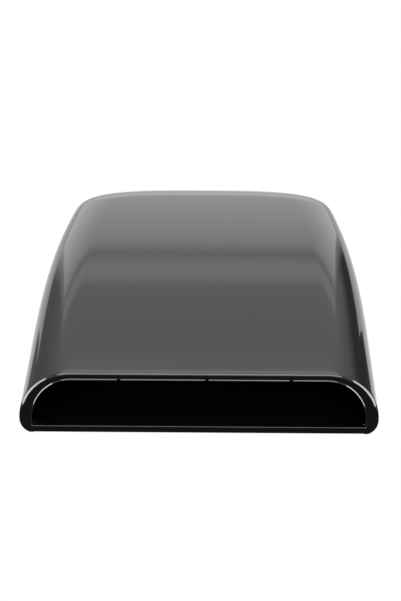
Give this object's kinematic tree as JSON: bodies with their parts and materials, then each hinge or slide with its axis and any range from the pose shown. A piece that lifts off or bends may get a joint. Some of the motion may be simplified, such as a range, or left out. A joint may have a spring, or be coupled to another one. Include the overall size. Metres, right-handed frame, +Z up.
{
  "type": "decorative hood vent",
  "caption": "Glossy black stick-on hood vent: a low domed cowl, wide open D-shaped mouth with a rolled lip, tapering to a closed rounded tail, over a flat floor pan",
  "frame": {"origin": "on the hood's surface, under the middle of the vent's bounding box", "axes": "+X across the vent, +Y from the open mouth to the closed tail, +Z up from the hood"},
  "size_m": [0.245, 0.35, 0.041],
  "materials": {
    "gloss_black": "high gloss black moulding",
    "pan_black": "gloss black moulding",
    "foam_tape": "dull black foam tape"
  },
  "bodies": {
    "root": {"cowl": "gloss_black", "floor_pan": "pan_black", "tape_left": "foam_tape", "tape_right": "foam_tape", "tape_rear": "foam_tape"}
  },
  "joints": []
}
